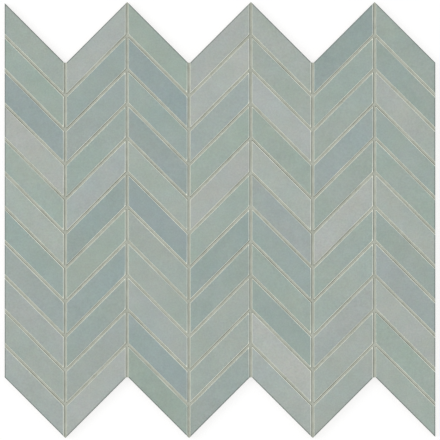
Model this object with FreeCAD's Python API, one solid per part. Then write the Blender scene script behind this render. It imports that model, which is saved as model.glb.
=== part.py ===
import FreeCAD
import Part
import math
import os

# Chevron wall tile, as the sheet that it is sold and laid in. Slanted tiles stand in columns that
# lean left and right by turns. Grout fills the joints, and a net of glass threads holds the backs.
# Millimetres. The sheet lies face up, seen as it hangs on a wall when +Y is up. The origin is the
# middle of the sheet's outline, on the plane that the net's lower threads lie in.

# One tile: a slanted bar with upright ends and a rounded edge, or arris, round its face. Its
# length runs along the slant, and its width square across it.
TILE_LENGTH = 59.0
TILE_WIDTH = 15.4
TILE_THICKNESS = 6.5
ARRIS_RADIUS = 0.6
SLANT_ANGLE = 45.0

# The sheet
COLUMNS = 7
ROWS = 11
JOINT_WIDTH = 1.6

# Grout: it comes up to the foot of the arris, and its middle is wiped out to a shallow hollow.
# The wiping reaches a little over the arris on both sides, so that no flat ledge is left.
GROUT_HOLLOW = 0.25
WIPE_OVERRUN = 0.1

# Net: lengthwise threads lie lowest, and cross threads lie on them, against the backs
THREAD_WIDTH = 0.7
LONG_THREAD_THICKNESS = 0.25
CROSS_THREAD_THICKNESS = 0.25
LONG_THREAD_PITCH = 6.2
CROSS_THREAD_PITCH = 6.2
NET_TRIM = 1.2

# Worked out from the sizes above
SLOPE = math.tan(math.radians(SLANT_ANGLE))
SECANT = 1.0 / math.cos(math.radians(SLANT_ANGLE))
COLUMN_WIDTH = TILE_LENGTH / SECANT
COLUMN_PITCH = COLUMN_WIDTH + JOINT_WIDTH
TILE_END = TILE_WIDTH * SECANT
ROW_PITCH = (TILE_WIDTH + JOINT_WIDTH) * SECANT
COLUMN_LENGTH = ROWS * ROW_PITCH - JOINT_WIDTH * SECANT
RISE = COLUMN_WIDTH * SLOPE
SHEET_WIDTH = COLUMNS * COLUMN_PITCH - JOINT_WIDTH
HIGH_END = (COLUMN_LENGTH + RISE) / 2
LOW_END = HIGH_END - RISE
TIP_RISE = JOINT_WIDTH / 2 * SLOPE
NET_THICKNESS = LONG_THREAD_THICKNESS + CROSS_THREAD_THICKNESS
BACK_LEVEL = NET_THICKNESS
FACE_LEVEL = BACK_LEVEL + TILE_THICKNESS
GROUT_TOP = FACE_LEVEL - ARRIS_RADIUS


def column_left(column):
    """X of a column's left side. Columns count from 0 at the left."""
    return -SHEET_WIDTH / 2 + column * COLUMN_PITCH


def falls(column):
    """True where the tiles of a column run down to the right."""
    return column % 2 == 0


def end_heights(column):
    """Heights of the column's top edge at its left and right side."""
    return (HIGH_END, LOW_END) if falls(column) else (LOW_END, HIGH_END)


def flat_face(points, height):
    """Level face on a closed outline of XY points."""
    return Part.Face(Part.makePolygon([FreeCAD.Vector(x, y, height) for x, y in points + points[:1]]))


def raised(face, height):
    """Upright prism that stands on a level face."""
    return face.extrude(FreeCAD.Vector(0, 0, height))


def prism(points, bottom, top):
    """Upright prism between two levels on a closed outline of XY points."""
    return raised(flat_face(points, bottom), top - bottom)


def tile_outline(column, row):
    """Corners of one tile, with row 0 at the top."""
    left = column_left(column)
    right = left + COLUMN_WIDTH
    left_top, right_top = [height - row * ROW_PITCH for height in end_heights(column)]
    return [
        (left, left_top - TILE_END),
        (right, right_top - TILE_END),
        (right, right_top),
        (left, left_top),
    ]


def tile(column, row):
    """One pressed tile, its face edged with a rounded arris."""
    body = prism(tile_outline(column, row), BACK_LEVEL, FACE_LEVEL)
    face_edges = [
        edge
        for edge in body.Edges
        if all(abs(vertex.Z - FACE_LEVEL) < ARRIS_RADIUS / 2 for vertex in edge.Vertexes)
    ]
    return body.makeFillet(ARRIS_RADIUS, face_edges)


def tile_column(column):
    """All tiles of one column, as copies of its top tile one row pitch apart."""
    first = tile(column, 0)
    return Part.makeCompound(
        [first.translated(FreeCAD.Vector(0, -row * ROW_PITCH, 0)) for row in range(ROWS)]
    )


def top_edge_points():
    """The sheet's top edge from left to right. It is level across the joints in its notches, and
    runs out to a tip across those on its points."""
    points = []
    for column in range(COLUMNS):
        left = column_left(column)
        left_top, right_top = end_heights(column)
        points += [(left, left_top), (left + COLUMN_WIDTH, right_top)]
        if not falls(column) and column < COLUMNS - 1:
            points.append((left + COLUMN_WIDTH + JOINT_WIDTH / 2, HIGH_END + TIP_RISE))
    return points


def bottom_edge_points():
    """The sheet's bottom edge from right to left, level in its notches and tipped on its points."""
    points = []
    for column in reversed(range(COLUMNS)):
        left = column_left(column)
        left_bottom, right_bottom = [height - COLUMN_LENGTH for height in end_heights(column)]
        if falls(column) and column < COLUMNS - 1:
            points.append((left + COLUMN_PITCH - JOINT_WIDTH / 2, LOW_END - COLUMN_LENGTH - TIP_RISE))
        points += [(left + COLUMN_WIDTH, right_bottom), (left, left_bottom)]
    return points


def sheet_outline():
    """Corners of the whole sheet, with its grout."""
    return top_edge_points() + bottom_edge_points()


def hollow_cutter(start, end):
    """Round bar that wipes the hollow along a joint, between two XY points on its middle line."""
    half = JOINT_WIDTH / 2 + WIPE_OVERRUN
    radius = (half**2 + GROUT_HOLLOW**2) / (2 * GROUT_HOLLOW)
    base = FreeCAD.Vector(start[0], start[1], GROUT_TOP + radius - GROUT_HOLLOW)
    along = FreeCAD.Vector(end[0] - start[0], end[1] - start[1], 0)
    return Part.makeCylinder(radius, along.Length, base, along)


def upright_cutters():
    """Cutters for the hollows of the joints between columns."""
    reach = HIGH_END + ROW_PITCH
    middles = [column_left(column) - JOINT_WIDTH / 2 for column in range(1, COLUMNS)]
    return [hollow_cutter((x, -reach), (x, reach)) for x in middles]


def slanted_cutters(column):
    """Cutters for the hollows of the joints between a column's tiles. They run out over both
    sides, and are cut off upright along the middles of the joints beside the column."""
    left = column_left(column) - JOINT_WIDTH / 2
    right = left + COLUMN_PITCH
    middle = left + COLUMN_PITCH / 2
    rise = -COLUMN_PITCH * SLOPE if falls(column) else COLUMN_PITCH * SLOPE
    first_joint = (HIGH_END + LOW_END - ROW_PITCH - TILE_END) / 2
    bars = []
    for row in range(ROWS - 1):
        y = first_joint - row * ROW_PITCH
        bars.append(hollow_cutter((middle - COLUMN_PITCH, y - rise), (middle + COLUMN_PITCH, y + rise)))
    reach = 2 * HIGH_END
    strip = [(left, -reach), (right, -reach), (right, reach), (left, reach)]
    return Part.makeCompound(bars).common(prism(strip, BACK_LEVEL, FACE_LEVEL))


def grout():
    """One casting that fills every joint between the tiles, hollow along the middle."""
    windows = [
        prism(tile_outline(column, row), BACK_LEVEL, GROUT_TOP)
        for column in range(COLUMNS)
        for row in range(ROWS)
    ]
    lattice = prism(sheet_outline(), BACK_LEVEL, GROUT_TOP).cut(windows)
    return lattice.cut(upright_cutters() + [slanted_cutters(column) for column in range(COLUMNS)])


def thread_places(extent, pitch):
    """Middles of parallel threads, one on the sheet's own middle and the rest a pitch apart."""
    count = int(extent / 2 / pitch)
    return [step * pitch for step in range(-count, count + 1)]


def net_shape():
    """The net's cut shape, filled: the sheet's outline brought in on every side, its corners
    left sharp."""
    return raised(flat_face(sheet_outline(), 0).makeOffset2D(-NET_TRIM, join=2), NET_THICKNESS)


def long_threads():
    """Threads that run up the sheet, cut off where the net ends."""
    length = 2 * (HIGH_END + TIP_RISE)
    room = SHEET_WIDTH - 2 * NET_TRIM - THREAD_WIDTH
    bars = [
        Part.makeBox(
            THREAD_WIDTH,
            length,
            LONG_THREAD_THICKNESS,
            FreeCAD.Vector(x - THREAD_WIDTH / 2, -length / 2, 0),
        )
        for x in thread_places(room, LONG_THREAD_PITCH)
    ]
    return Part.makeCompound(bars).common(net_shape())


def cross_threads():
    """Threads that run across the sheet on the long ones, cut off where the net ends."""
    room = 2 * (HIGH_END - NET_TRIM * SECANT) - THREAD_WIDTH
    bars = [
        Part.makeBox(
            SHEET_WIDTH,
            THREAD_WIDTH,
            CROSS_THREAD_THICKNESS,
            FreeCAD.Vector(-SHEET_WIDTH / 2, y - THREAD_WIDTH / 2, LONG_THREAD_THICKNESS),
        )
        for y in thread_places(room, CROSS_THREAD_PITCH)
    ]
    return Part.makeCompound(bars).common(net_shape())


def write(name, shape):
    """Writes one node's solids and says what they measure."""
    shape.exportStep(os.path.join("parts", name + ".step"))
    box = shape.BoundBox
    print(
        f"{name}: {len(shape.Solids)} solids, {box.XLength:.2f} x {box.YLength:.2f} x "
        f"{box.ZLength:.2f} mm, {sum(solid.Volume for solid in shape.Solids):.0f} mm3"
    )


def main():
    os.makedirs("parts", exist_ok=True)
    for column in range(COLUMNS):
        write(f"tiles_column_{column + 1}", tile_column(column))
    write("grout", grout())
    write("net_long_threads", long_threads())
    write("net_cross_threads", cross_threads())


main()
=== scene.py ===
"""Looks of the chevron wall tile sheet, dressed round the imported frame.

The sheet lies face up on a pale floor and the camera looks straight down on it. Each column of
tiles, the grout, both layers of the net and the glue are pieces of their own, in metres, where the
frame has them.
"""

import logging
import math
from collections.abc import Iterable, Mapping
from dataclasses import dataclass, field
from enum import Enum
from typing import Any

import bmesh
import bpy
import numpy as np
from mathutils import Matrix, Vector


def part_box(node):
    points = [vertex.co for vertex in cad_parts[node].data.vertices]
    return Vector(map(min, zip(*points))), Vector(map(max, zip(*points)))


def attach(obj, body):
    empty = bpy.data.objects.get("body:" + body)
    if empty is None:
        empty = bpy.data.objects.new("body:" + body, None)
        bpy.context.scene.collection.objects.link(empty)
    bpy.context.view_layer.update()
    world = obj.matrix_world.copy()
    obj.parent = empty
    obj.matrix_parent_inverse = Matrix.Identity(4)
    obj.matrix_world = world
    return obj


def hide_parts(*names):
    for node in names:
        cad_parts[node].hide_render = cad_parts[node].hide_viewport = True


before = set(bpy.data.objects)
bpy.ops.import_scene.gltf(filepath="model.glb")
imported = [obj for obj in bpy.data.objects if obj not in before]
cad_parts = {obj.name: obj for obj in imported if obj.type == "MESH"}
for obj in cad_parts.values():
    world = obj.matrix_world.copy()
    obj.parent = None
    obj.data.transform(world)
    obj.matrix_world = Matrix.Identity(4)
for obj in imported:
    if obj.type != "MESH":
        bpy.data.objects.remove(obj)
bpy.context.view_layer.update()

log = logging.getLogger("chevron_sheet")

MM = 0.001
BODY = "root"
FAR_AWAY = 1.0

Colour = tuple[float, float, float, float]
Span = tuple[float, float]
Place = tuple[float, float, float]

WHITE: Colour = (1.0, 1.0, 1.0, 1.0)


def paint(red: int, green: int, blue: int) -> Colour:
    """Turns a display colour into the renderer's linear one.

    Args:
        red: Red, from 0 to 255.
        green: Green, from 0 to 255.
        blue: Blue, from 0 to 255.

    Returns:
        The linear colour, opaque.
    """
    shares = [level / 255 for level in (red, green, blue)]
    linear = [s / 12.92 if s <= 0.04045 else ((s + 0.055) / 1.055) ** 2.4 for s in shares]
    return (linear[0], linear[1], linear[2], 1.0)


class Glaze(Enum):
    """The glazes that each tile's colour is blended from: a grey, a green and a blue one."""

    DOVE = paint(175, 180, 175)
    SAGE = paint(155, 170, 160)
    LAGOON = paint(145, 160, 160)


class Lean(Enum):
    """Which way a column's tiles run from left to right."""

    FALLS = -1
    RISES = 1

    @classmethod
    def of(cls, column: int) -> "Lean":
        """Gives the lean of a column, counted from 0 at the left."""
        return cls.FALLS if column % 2 == 0 else cls.RISES

    @property
    def left_facing(self) -> str:
        """Which long side of a tile faces left."""
        return "bottom" if self is Lean.FALLS else "top"


@dataclass(frozen=True)
class SheetSizes:
    """Measures of the sheet, in metres, worked out from the frame's boxes.

    Columns count from 0 at the left and rows from 0 at the top.
    """

    columns: int
    rows: int
    slant: float
    arris: float
    column_width: float
    joint: float
    left_side: float
    high_end: float
    back: float
    face: float

    @classmethod
    def from_frame(cls, rows: int = 11, slant: float = 45.0, arris: float = 0.6 * MM) -> "SheetSizes":
        """Reads the sizes from the tile columns' boxes.

        Args:
            rows: Tiles in a column.
            slant: Angle between a tile and the level, in degrees.
            arris: Radius of the rounded edge round a tile's face.

        Returns:
            The sheet's sizes.
        """
        columns = sum(name.startswith("tiles_column_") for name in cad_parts)
        first_low, first_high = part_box("tiles_column_1")
        second_low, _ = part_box("tiles_column_2")
        return cls(
            columns=columns,
            rows=rows,
            slant=math.radians(slant),
            arris=arris,
            column_width=first_high.x - first_low.x,
            joint=second_low.x - first_high.x,
            left_side=first_low.x,
            high_end=first_high.y,
            back=first_low.z,
            face=first_high.z,
        )

    @property
    def slope(self) -> float:
        """Climb of a tile for each metre across its column."""
        return math.tan(self.slant)

    @property
    def stretch(self) -> float:
        """Upright height of a thing that is one metre square across the slant."""
        return 1 / math.cos(self.slant)

    @property
    def rise(self) -> float:
        """Climb of a tile over its column's width."""
        return self.column_width * self.slope

    @property
    def low_end(self) -> float:
        """Height of the notches in the sheet's top edge."""
        return self.high_end - self.rise

    @property
    def gap(self) -> float:
        """Upright height of a slanted joint."""
        return self.joint * self.stretch

    @property
    def row_pitch(self) -> float:
        """Upright distance from one tile to the next in its column."""
        return (self.high_end + self.low_end + self.gap) / self.rows

    @property
    def tile_end(self) -> float:
        """Height of a tile's upright end."""
        return self.row_pitch - self.gap

    @property
    def tile_width(self) -> float:
        """Width of a tile, square across the slant."""
        return self.tile_end / self.stretch

    @property
    def column_pitch(self) -> float:
        """Distance from one column to the next."""
        return self.column_width + self.joint

    @property
    def arris_foot(self) -> float:
        """Level at which a tile's wall turns into its arris."""
        return self.face - self.arris

    def column_left(self, column: int) -> float:
        """Gives the X of a column's left side."""
        return self.left_side + column * self.column_pitch

    def joint_middle(self, column: int) -> float:
        """Gives the X of the middle of the upright joint on a column's left."""
        return self.column_left(column) - self.joint / 2

    def end_heights(self, column: int) -> tuple[float, float]:
        """Gives the heights of a column's top edge.

        Args:
            column: The column's number, from 0 at the left.

        Returns:
            The heights at its left and at its right side.
        """
        if Lean.of(column) is Lean.FALLS:
            return self.high_end, self.low_end
        return self.low_end, self.high_end

    def tile_middle(self, column: int, row: int) -> tuple[float, float]:
        """Finds the middle of one tile.

        Args:
            column: The tile's column, from 0 at the left.
            row: Its row, from 0 at the top.

        Returns:
            X and Y.
        """
        middle_top = (self.high_end + self.low_end) / 2
        x = self.column_left(column) + self.column_width / 2
        return x, middle_top - self.tile_end / 2 - row * self.row_pitch


class Wire:
    """A node's output, on which sums are written as Python expressions."""

    def __init__(self, graph: "Graph", socket: bpy.types.NodeSocket) -> None:
        """Wraps one output socket of a graph."""
        self.graph = graph
        self.socket = socket

    def _math(self, operation: str, first: Any, second: Any) -> "Wire":
        """Adds a Math node on two values or wires and gives its result."""
        sockets = {"Value": first, "Value_001": second}
        return self.graph.add("ShaderNodeMath", {"operation": operation}, sockets)["Value"]

    def __add__(self, other: Any) -> "Wire":
        """Adds a value or wire."""
        return self._math("ADD", self, other)

    __radd__ = __add__

    def __sub__(self, other: Any) -> "Wire":
        """Takes a value or wire away."""
        return self._math("SUBTRACT", self, other)

    def __rsub__(self, other: Any) -> "Wire":
        """Takes this wire away from a value."""
        return self._math("SUBTRACT", other, self)

    def __mul__(self, other: Any) -> "Wire":
        """Multiplies by a value or wire."""
        return self._math("MULTIPLY", self, other)

    __rmul__ = __mul__

    def __truediv__(self, other: Any) -> "Wire":
        """Divides by a value or wire."""
        return self._math("DIVIDE", self, other)

    def sine(self) -> "Wire":
        """Gives the sine, of radians."""
        return self._math("SINE", self, 0.0)

    def cosine(self) -> "Wire":
        """Gives the cosine, of radians."""
        return self._math("COSINE", self, 0.0)

    def at_least(self, other: Any) -> "Wire":
        """Gives the larger of this wire and a value or wire."""
        return self._math("MAXIMUM", self, other)


class Block:
    """A node that was added to a graph, from which its outputs are taken."""

    def __init__(self, graph: "Graph", node: bpy.types.Node) -> None:
        """Wraps one node of a graph."""
        self.graph = graph
        self.node = node

    def __getitem__(self, identifier: str) -> Wire:
        """Gives the output with that identifier."""
        return Wire(self.graph, pick(self.node.outputs, identifier))


def pick(sockets: Iterable[bpy.types.NodeSocket], identifier: str) -> bpy.types.NodeSocket:
    """Finds a socket by its identifier."""
    return next(socket for socket in sockets if socket.identifier == identifier)


class Graph:
    """A node tree to which nodes are added one by one, with their settings and sockets."""

    def __init__(self, tree: bpy.types.NodeTree) -> None:
        """Starts on an empty tree."""
        self.tree = tree
        self.tree.nodes.clear()

    def add(
        self,
        kind: str,
        settings: Mapping[str, Any] | None = None,
        sockets: Mapping[str, Any] | None = None,
    ) -> Block:
        """Adds one node.

        Args:
            kind: The node's type.
            settings: The node's own properties, which are set first.
            sockets: Values or wires for its inputs, by identifier.

        Returns:
            The node.
        """
        node = self.tree.nodes.new(kind)
        for name, value in (settings or {}).items():
            setattr(node, name, value)
        for identifier, value in (sockets or {}).items():
            socket = pick(node.inputs, identifier)
            if isinstance(value, Wire):
                self.tree.links.new(value.socket, socket)
            else:
                socket.default_value = value
        return Block(self, node)

    def place(self) -> Wire:
        """Gives each point's place on its object."""
        return self.add("ShaderNodeTexCoord")["Object"]

    def vector(self, operation: str, first: Wire, second: Any) -> Wire:
        """Adds a Vector Math node on a wire and a second wire or three numbers."""
        sockets = {"Vector": first, "Vector_001": second}
        return self.add("ShaderNodeVectorMath", {"operation": operation}, sockets)["Vector"]

    def scaled(self, vector: Wire, factor: Wire) -> Wire:
        """Multiplies a vector or colour by one number."""
        sockets = {"Vector": vector, "Scale": factor}
        return self.add("ShaderNodeVectorMath", {"operation": "SCALE"}, sockets)["Vector"]

    def joined(self, x: Any = 0.0, y: Any = 0.0, z: Any = 0.0) -> Wire:
        """Makes one vector of three values or wires."""
        return self.add("ShaderNodeCombineXYZ", None, {"X": x, "Y": y, "Z": z})["Vector"]

    def parted(self, vector: Wire, axis: str) -> Wire:
        """Takes one axis of a vector."""
        return self.add("ShaderNodeSeparateXYZ", None, {"Vector": vector})[axis]

    def drawn(self, low: Place, high: Place, seed: Wire) -> Wire:
        """Draws a random vector for each copy, between two corners."""
        sockets = {"Min": low, "Max": high, "Seed": seed}
        return self.add("FunctionNodeRandomValue", {"data_type": "FLOAT_VECTOR"}, sockets)["Value"]

    def turned(self, angles: Wire) -> Wire:
        """Makes a rotation of three angles."""
        return self.add("FunctionNodeEulerToRotation", None, {"Euler": angles})["Rotation"]

    def mixed_shader(self, share: Wire, first: Wire, second: Wire) -> Wire:
        """Mixes two shaders, with the second where the share is 1."""
        sockets = {"Fac": share, "Shader": first, "Shader_001": second}
        return self.add("ShaderNodeMixShader", None, sockets)["Shader"]

    def blend(self, share: Any, first: Any, second: Any, kind: str = "MIX") -> Wire:
        """Mixes two colours.

        Args:
            share: How much of the second colour, from 0 to 1.
            first: The colour at 0.
            second: The colour at 1.
            kind: The Mix node's blend type.

        Returns:
            The mixed colour.
        """
        settings = {"data_type": "RGBA", "blend_type": kind, "clamp_factor": True}
        sockets = {"Factor_Float": share, "A_Color": first, "B_Color": second}
        return self.add("ShaderNodeMix", settings, sockets)["Result_Color"]

    def ease(self, value: Wire, start: float, end: float, low: float = 0.0, high: float = 1.0) -> Wire:
        """Turns a value's passage from start to end into a smooth one from low to high.

        Args:
            value: The value that is watched.
            start: Where the passage starts.
            end: Where it ends, above the start.
            low: The result up to the start.
            high: The result from the end on.

        Returns:
            The eased value.
        """
        sockets = {"Value": value, "From Min": start, "From Max": end, "To Min": low, "To Max": high}
        settings = {"interpolation_type": "SMOOTHSTEP"}
        return self.add("ShaderNodeMapRange", settings, sockets)["Result"]

    def cloud(self, place: Wire, grain: float, detail: float = 2.0, rough: float = 0.5) -> Wire:
        """Adds smooth noise round 0.5, with patches of one grain and finer layers on it."""
        sockets = {"Vector": place, "Scale": 1 / grain, "Detail": detail, "Roughness": rough}
        return self.add("ShaderNodeTexNoise", {"noise_dimensions": "3D"}, sockets)["Fac"]

    def kept(self, name: str, output: str) -> Wire:
        """Reads one of the mesh's own attributes, as its Color, Vector or Fac."""
        return self.add("ShaderNodeAttribute", {"attribute_name": name})[output]


def new_material(name: str) -> tuple[bpy.types.Material, Graph]:
    """Makes an empty material.

    Args:
        name: The material's name.

    Returns:
        The material and the graph of its nodes.
    """
    material = bpy.data.materials.new(name)
    material.use_nodes = True
    return material, Graph(material.node_tree)


class Finish:
    """A finish that ends in one Principled surface."""

    name = "finish"

    def material(self) -> bpy.types.Material:
        """Builds the material from the finish's own surface.

        Returns:
            The finished material.
        """
        material, graph = new_material(self.name)
        surface, height = self._surface(graph, graph.place())
        relief = {"Strength": 1.0, "Distance": 1.0, "Height": height}
        surface["Normal"] = graph.add("ShaderNodeBump", None, relief)["Normal"]
        shader = graph.add("ShaderNodeBsdfPrincipled", None, surface)["BSDF"]
        graph.add("ShaderNodeOutputMaterial", None, {"Surface": shader})
        return material

    def _surface(self, graph: Graph, place: Wire) -> tuple[dict[str, Any], Wire]:
        """Gives what feeds the surface. Each finish has its own.

        Args:
            graph: The material's graph.
            place: Each point's place.

        Returns:
            Values or wires for the surface's sockets, and its relief in metres.
        """
        raise NotImplementedError


@dataclass(frozen=True)
class GlazedClay(Finish):
    """Satin glaze on a pressed clay body, bare on the back and low on the walls."""

    name = "glazed_clay"

    glaze_line: float
    line_wave: float = 0.9 * MM
    line_blur: float = 0.1 * MM
    # partly pale grout residue, partly a painted highlight on the arrises beside the joints
    haze_and_highlight: Colour = paint(250, 252, 238)
    # painted shade for the free arrises, standing in for the shade where they turn away from the light
    shadowed_rim: Colour = paint(92, 101, 97)
    clay: Colour = paint(206, 197, 182)
    fired_clay: Colour = paint(188, 176, 158)
    elsewhere: Place = (0.31, 0.17, 0.23)
    drift_passage: Span = (0.3, 0.7)
    red_grain: float = 24 * MM
    red_drift: Span = (0.964, 1.011)
    blue_grain: float = 18 * MM
    blue_drift: Span = (0.973, 1.011)
    speck_grain: float = 3.0 * MM
    speck_share: float = 0.06
    mottle_depth: float = 0.26
    mottle_middle: float = 1.2
    rim_reach: Span = (0.35 * MM, 0.9 * MM)
    rim_share: float = 0.8
    film_and_highlight_wave: float = 0.06 * MM
    film_and_highlight_reach: Span = (0.36 * MM, 0.48 * MM)
    film_and_highlight_share: float = 0.95
    film_and_highlight_patches: Span = (0.55, 1.0)
    satin: float = 0.42
    film_roughness: float = 0.25
    clay_roughness: float = 0.9

    def _surface(self, graph: Graph, place: Wire) -> tuple[dict[str, Any], Wire]:
        """Lays glaze, pale grout residue with a painted highlight, painted shade on the free arrises
        and bare clay by the tiles' own attributes.

        Args:
            graph: The material's graph.
            place: Each point's place.

        Returns:
            Values or wires for the surface's sockets, and its relief in metres.
        """
        own_place = graph.vector("ADD", place, graph.kept("batch_shift", "Vector"))
        colour = self._glaze_colour(graph, own_place)
        bare = self._bare_clay(graph, place)
        clay_colour = graph.blend(graph.cloud(place, 6 * MM, 4.0), self.clay, self.fired_clay)
        film_and_highlight = self._film_and_highlight(graph, own_place)
        sheen_drift = 0.14 * (graph.cloud(own_place, 9 * MM) - 0.5)
        roughness = self.satin + sheen_drift + self.film_roughness * film_and_highlight
        waves = 0.030 * MM * graph.cloud(own_place, 14 * MM, 1.0)
        orange_peel = 0.0022 * MM * graph.cloud(own_place, 0.9 * MM, 1.0)
        tooth = 0.05 * MM * graph.cloud(place, 0.5 * MM, 3.0)
        surface = {
            "Base Color": graph.blend(bare, graph.blend(film_and_highlight, colour, self.haze_and_highlight), clay_colour),
            "Roughness": roughness * (1 - bare) + self.clay_roughness * bare,
            "Specular IOR Level": 0.4,
        }
        return surface, waves + orange_peel + tooth * bare

    def _glaze_colour(self, graph: Graph, own_place: Wire) -> Wire:
        """Gives the glaze its clouds, its fine mottling and a painted shade on a free arris.

        Args:
            graph: The material's graph.
            own_place: Each point's place, shifted from tile to tile.

        Returns:
            The colour.
        """
        elsewhere = graph.vector("ADD", own_place, self.elsewhere)
        red_cloud = graph.cloud(own_place, self.red_grain, 1.0)
        blue_cloud = graph.cloud(elsewhere, self.blue_grain, 1.0)
        red = graph.ease(red_cloud, *self.drift_passage, *self.red_drift)
        blue = graph.ease(blue_cloud, *self.drift_passage, *self.blue_drift)
        tinted = graph.vector("MULTIPLY", graph.kept("glaze", "Color"), graph.joined(red, 1.0, blue))
        grains = {"Vector": own_place, "Scale": 1 / self.speck_grain, "Detail": 3.0, "Roughness": 0.6}
        specks = graph.add("ShaderNodeTexNoise", {"noise_dimensions": "3D"}, grains)["Color"]
        speckled = graph.blend(self.speck_share, tinted, specks, "OVERLAY")
        pools = 0.5 * graph.cloud(elsewhere, 20 * MM, 1.0) + 0.5 * graph.cloud(own_place, 7 * MM)
        mottle = pools + 1.4 * graph.cloud(own_place, 1.1 * MM, 3.0)
        toned = graph.scaled(speckled, 1.0 + self.mottle_depth * (mottle - self.mottle_middle))
        # painted shade: the free arrises darken towards the shadowed rim colour, for the shade where
        # they turn away from the light
        rim = graph.ease(graph.kept("from_edge", "Fac"), *self.rim_reach, self.rim_share, 0.0)
        return graph.blend(rim, toned, self.shadowed_rim)

    def _film_and_highlight(self, graph: Graph, own_place: Wire) -> Wire:
        """Marks the pale grout residue on the arrises beside a joint, which is also a painted highlight
        there.

        Args:
            graph: The material's graph.
            own_place: Each point's place, shifted from tile to tile.

        Returns:
            The mask, 1 where the pale residue and painted highlight hide the glaze.
        """
        wave = self.film_and_highlight_wave * (graph.cloud(own_place, 2.5 * MM) - 0.5)
        patches = graph.ease(graph.cloud(own_place, 26 * MM, 1.0), 0.36, 0.6, *self.film_and_highlight_patches)
        reach = graph.kept("from_joint", "Fac") + wave
        return graph.ease(reach, *self.film_and_highlight_reach, self.film_and_highlight_share, 0.0) * patches

    def _bare_clay(self, graph: Graph, place: Wire) -> Wire:
        """Marks the bare clay below the wavy lower edge of the glaze.

        Args:
            graph: The material's graph.
            place: Each point's place.

        Returns:
            The mask, 1 on bare clay.
        """
        wave = self.line_wave * (graph.cloud(place, 5 * MM, 2.0) - 0.5)
        ends = self.glaze_line - self.line_blur, self.glaze_line + self.line_blur
        return graph.ease(graph.parted(place, "Z") + wave, *ends, 1.0, 0.0)


@dataclass(frozen=True)
class SandedGrout(Finish):
    """Cement grout with fine sand, paler where it thins out over the tiles' edges, which is also a
    painted highlight beside sides that face the key lamp, and with a painted shadow line beside sides
    turned away from it.
    """

    name = "sanded_grout"

    sand: Colour = paint(187, 191, 179)
    deep_sand: Colour = paint(169, 173, 160)
    # partly pale thinned grout, partly a painted highlight beside tile sides that face the key lamp
    washed_edge_and_highlight: Colour = paint(240, 243, 229)
    # painted shadow in the grout beside tile sides turned away from the key lamp
    painted_shadow_line: Colour = paint(60, 64, 56)
    wall_wave: float = 0.06 * MM
    wash_and_highlight_reach: Span = (0.08 * MM, 0.18 * MM)
    wash_and_highlight_share: float = 0.8
    turned_away_reach: Span = (0.1 * MM, 0.25 * MM)
    lee_wash_and_highlight: float = 0.4
    shadow_start: Span = (0.08 * MM, 0.18 * MM)
    shadow_stop: Span = (0.37 * MM, 0.49 * MM)
    streak_length: float = 48 * MM
    streaks: Span = (0.2, 0.9)
    end_shadow_stop: Span = (0.3 * MM, 0.42 * MM)
    end_shadow: float = 0.5

    def _surface(self, graph: Graph, place: Wire) -> tuple[dict[str, Any], Wire]:
        """Colours the grout by its distance to the tiles' walls.

        Args:
            graph: The material's graph.
            place: Each point's place.

        Returns:
            Values or wires for the surface's sockets, and its relief in metres.
        """
        patches = graph.ease(graph.cloud(place, 5 * MM, 3.0), 0.35, 0.65)
        grains = graph.cloud(place, 0.35 * MM, 3.0, 0.6)
        body = graph.blend(patches * 0.6 + 0.4 * grains, self.sand, self.deep_sand)
        wave = self.wall_wave * (graph.cloud(place, 1.5 * MM) - 0.5)
        from_wall = graph.kept("from_wall", "Fac") + wave
        from_lee, from_end = graph.kept("from_lee", "Fac"), graph.kept("from_end", "Fac")
        # partly pale thinned grout, partly a painted highlight: full beside sides that face the key
        # lamp, less beside sides and ends turned away from it
        wash_and_highlight = graph.ease(from_wall, *self.wash_and_highlight_reach, self.wash_and_highlight_share, 0.0)
        wash_and_highlight = wash_and_highlight * graph.ease(from_end, *self.turned_away_reach)
        wash_and_highlight = wash_and_highlight * graph.ease(from_lee, *self.turned_away_reach, self.lee_wash_and_highlight, 1.0)
        # painted shadow: a dark line beside tile sides and right ends turned away from the key lamp,
        # varied in strength along its length
        streaks = graph.ease(graph.cloud(place, self.streak_length, 1.0), 0.36, 0.64, *self.streaks)
        lee_shadow = graph.ease(from_lee, *self.shadow_start) * graph.ease(from_lee, *self.shadow_stop, 1.0, 0.0)
        at_end = graph.ease(from_end, *self.end_shadow_stop, self.end_shadow, 0.0)
        lee_shadow = (lee_shadow * streaks).at_least(at_end)
        shadowed_body = graph.blend(lee_shadow, body, self.painted_shadow_line)
        surface = {
            "Base Color": graph.blend(wash_and_highlight, shadowed_body, self.washed_edge_and_highlight),
            "Roughness": 0.85 + 0.2 * (grains - 0.5),
            "Specular IOR Level": 0.3,
        }
        return surface, 0.05 * MM * grains + 0.06 * MM * graph.cloud(place, 1.6 * MM, 2.0)


@dataclass(frozen=True)
class GlassYarn(Finish):
    """White glass yarn with its fibres running along it."""

    name = "glass_yarn"

    fibre: Colour = paint(238, 238, 230)
    between_fibres: Colour = paint(205, 205, 192)

    def _surface(self, graph: Graph, place: Wire) -> tuple[dict[str, Any], Wire]:
        """Colours the yarn by its fibres.

        Args:
            graph: The material's graph.
            place: Each point's place.

        Returns:
            Values or wires for the surface's sockets, and its relief in metres.
        """
        fibres = graph.cloud(place, 0.12 * MM, 2.0, 0.6)
        surface = {
            "Base Color": graph.blend(fibres, self.fibre, self.between_fibres),
            "Roughness": 0.5 + 0.2 * (fibres - 0.5),
            "Sheen Weight": 0.2,
        }
        return surface, 0.02 * MM * fibres


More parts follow.
